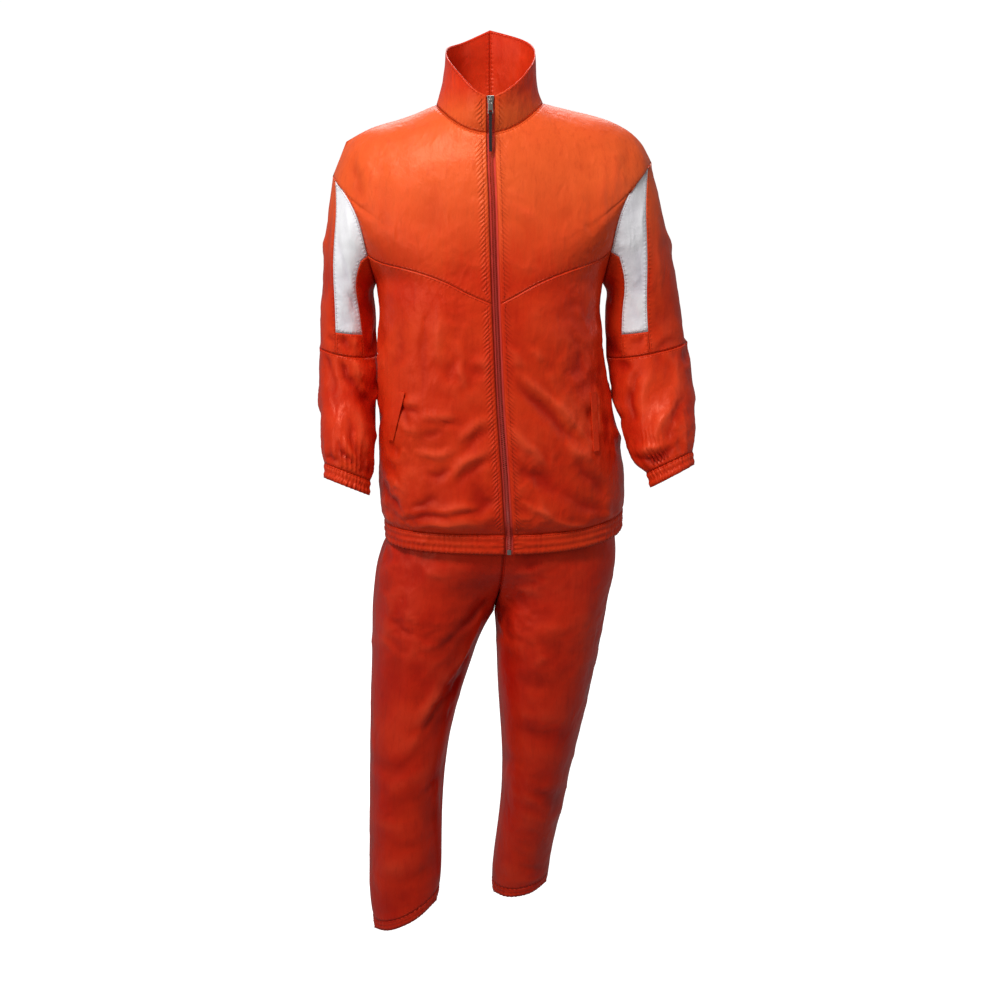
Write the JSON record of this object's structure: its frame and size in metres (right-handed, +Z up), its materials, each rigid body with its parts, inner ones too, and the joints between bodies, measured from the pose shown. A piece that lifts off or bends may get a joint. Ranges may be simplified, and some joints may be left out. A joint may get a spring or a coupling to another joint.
{
  "type": "tracksuit: zipped jacket and trousers",
  "caption": "Worn two-piece nylon tracksuit: zipped jacket with stand collar and white sleeve panels, plain trousers, hollow, with a swinging zip pull.",
  "frame": {"origin": "base of the neck, in the middle of the neck opening, where the wearer's shoulders carry the jacket", "axes": "+Z up along the body, +Y towards the wearer's back, +X towards the wearer's left side"},
  "size_m": [0.5829, 0.2716, 1.4391],
  "materials": {
    "jacket_nylon": "satin",
    "white_nylon": "satin",
    "trouser_nylon": "satin",
    "zip_tape": "matte",
    "zip_coil": "satin",
    "zip_metal": "satin",
    "pull_tab": "matte"
  },
  "bodies": {
    "garment": {"front_yoke_right": "jacket_nylon", "front_lower_right": "jacket_nylon", "front_yoke_left": "jacket_nylon", "front_lower_left": "jacket_nylon", "back": "jacket_nylon", "collar_right": "jacket_nylon", "collar_left": "jacket_nylon", "hem_band": "jacket_nylon", "sleeve_outer_right": "jacket_nylon", "sleeve_white_right": "white_nylon", "sleeve_strip_right": "jacket_nylon", "sleeve_under_right": "jacket_nylon", "sleeve_lower_right": "jacket_nylon", "cuff_right": "jacket_nylon", "sleeve_outer_left": "jacket_nylon", "sleeve_white_left": "white_nylon", "sleeve_strip_left": "jacket_nylon", "sleeve_under_left": "jacket_nylon", "sleeve_lower_left": "jacket_nylon", "cuff_left": "jacket_nylon", "trouser_front_right": "trouser_nylon", "trouser_back_right": "trouser_nylon", "trouser_front_left": "trouser_nylon", "trouser_back_left": "trouser_nylon", "ankle_hem_right": "trouser_nylon", "ankle_hem_left": "trouser_nylon", "waistband": "trouser_nylon", "zip_tape_right": "zip_tape", "zip_tape_left": "zip_tape", "zip_coil": "zip_coil", "zip_slider": "zip_metal", "zip_crown": "zip_metal", "pocket_welt_right": "jacket_nylon", "pocket_welt_left": "jacket_nylon"},
    "zip_pull": {"zip_puller": "zip_metal", "zip_tab": "pull_tab"}
  },
  "joints": [
    {"name": "zip_pull_swing", "type": "hinge", "parent": "garment", "child": "zip_pull", "pos_m": [-0.001, -0.10278, 0.023], "axis": [-1, 0, 0], "range_deg": [0, 150]}
  ]
}
